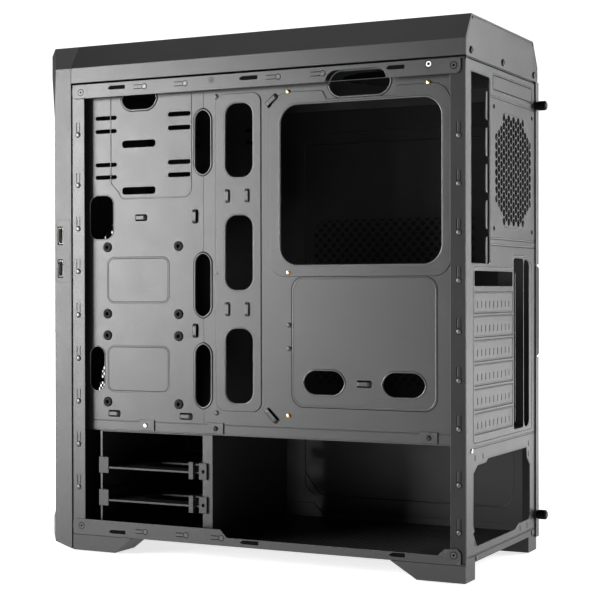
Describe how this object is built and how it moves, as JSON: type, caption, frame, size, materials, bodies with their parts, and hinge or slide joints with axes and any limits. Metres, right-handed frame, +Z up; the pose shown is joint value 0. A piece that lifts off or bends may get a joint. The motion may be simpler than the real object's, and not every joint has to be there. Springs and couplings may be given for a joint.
{
  "type": "desktop computer tower case",
  "caption": "Upright black steel computer tower case with its right cover off, showing the board tray, cable holes, drive trays, slot covers and fan grille.",
  "frame": {"origin": "centre of the base of the bounding box, on the floor", "axes": "+Z up, +X towards the open side, +Y towards the rear sheet, -Y towards the front bezel"},
  "size_m": [0.1934, 0.4314, 0.472],
  "materials": {
    "black_steel": "satin black powder coat on pressed steel",
    "black_plastic": "fine grained black moulding",
    "gloss_black": "smooth black moulding",
    "rubber": "matt black rubber",
    "zinc": "bright zinc plate",
    "brass": "turned brass"
  },
  "bodies": {
    "chassis": {"bay_bracket": "black_steel", "bay_cover_lower": "black_plastic", "bay_cover_upper": "black_plastic", "bottom_panel": "black_steel", "drive_cage": "black_steel", "foot_front_left": "black_plastic", "foot_front_right": "black_plastic", "foot_pad_front_left": "rubber", "foot_pad_front_right": "rubber", "foot_pad_rear_left": "rubber", "foot_pad_rear_right": "rubber", "foot_rear_left": "black_plastic", "foot_rear_right": "black_plastic", "front_bezel": "black_plastic", "front_frame": "black_steel", "front_grille": "black_steel", "motherboard_tray": "black_steel", "psu_shroud": "black_steel", "rear_panel": "black_steel", "slot_cover_01": "black_steel", "slot_cover_02": "black_steel", "slot_cover_03": "black_steel", "slot_cover_04": "black_steel", "slot_cover_05": "black_steel", "slot_cover_06": "black_steel", "slot_screw_01": "zinc", "slot_screw_02": "zinc", "slot_screw_03": "zinc", "slot_screw_04": "zinc", "slot_screw_05": "zinc", "slot_screw_06": "zinc", "ssd_grommet_01": "rubber", "ssd_grommet_02": "rubber", "ssd_grommet_03": "rubber", "ssd_grommet_04": "rubber", "ssd_grommet_05": "rubber", "ssd_grommet_06": "rubber", "ssd_grommet_07": "rubber", "ssd_grommet_08": "rubber", "standoff_01": "brass", "standoff_02": "brass", "standoff_03": "brass", "standoff_04": "brass", "top_cover": "black_steel", "top_panel": "black_steel", "top_rear_plate": "black_steel", "usb_socket_01": "zinc", "usb_socket_02": "zinc"},
    "side_panel_left": {"side_panel_left": "black_steel", "side_panel_grip": "gloss_black"},
    "screw_collar_upper": {"thumbscrew_collar_upper": "gloss_black"},
    "screw_collar_lower": {"thumbscrew_collar_lower": "gloss_black"},
    "screw_knob_upper": {"thumbscrew_knob_upper": "gloss_black", "thumbscrew_shank_upper": "zinc"},
    "screw_knob_lower": {"thumbscrew_knob_lower": "gloss_black", "thumbscrew_shank_lower": "zinc"},
    "hdd_tray_upper": {"hdd_tray_upper": "black_plastic"},
    "hdd_tray_lower": {"hdd_tray_lower": "black_plastic"},
    "power_button": {"power_button": "gloss_black"},
    "reset_button": {"reset_button": "gloss_black"}
  },
  "joints": [
    {"name": "side_panel_slide", "type": "slide", "parent": "chassis", "child": "side_panel_left", "axis": [0, 1, 0], "range_m": [0, 0.02]},
    {"name": "thumbscrew_upper_travel", "type": "slide", "parent": "side_panel_left", "child": "screw_collar_upper", "axis": [0, 1, 0], "range_m": [0, 0.00556]},
    {"name": "thumbscrew_upper_turn", "type": "hinge", "parent": "screw_collar_upper", "child": "screw_knob_upper", "pos_m": [-0.09015, 0.20665, 0.4135], "axis": [0, 1, 0], "range_deg": [0, 2525]},
    {"name": "thumbscrew_lower_travel", "type": "slide", "parent": "side_panel_left", "child": "screw_collar_lower", "axis": [0, 1, 0], "range_m": [0, 0.00556]},
    {"name": "thumbscrew_lower_turn", "type": "hinge", "parent": "screw_collar_lower", "child": "screw_knob_lower", "pos_m": [-0.09015, 0.20665, 0.034], "axis": [0, 1, 0], "range_deg": [0, 2525]},
    {"name": "hdd_tray_upper_slide", "type": "slide", "parent": "chassis", "child": "hdd_tray_upper", "axis": [1, 0, 0], "range_m": [0, 0.16]},
    {"name": "hdd_tray_lower_slide", "type": "slide", "parent": "chassis", "child": "hdd_tray_lower", "axis": [1, 0, 0], "range_m": [0, 0.16]},
    {"name": "power_button_press", "type": "slide", "parent": "chassis", "child": "power_button", "axis": [0, 0, -1], "range_m": [0, 0.0015], "stiffness_N_per_m": 900},
    {"name": "reset_button_press", "type": "slide", "parent": "chassis", "child": "reset_button", "axis": [0, 0, -1], "range_m": [0, 0.0015], "stiffness_N_per_m": 900}
  ],
  "couplings": [
    {"joint": "thumbscrew_upper_turn", "follows": "thumbscrew_upper_travel", "rad_per_m": 7915.8},
    {"joint": "thumbscrew_lower_turn", "follows": "thumbscrew_lower_travel", "rad_per_m": 7915.8}
  ]
}
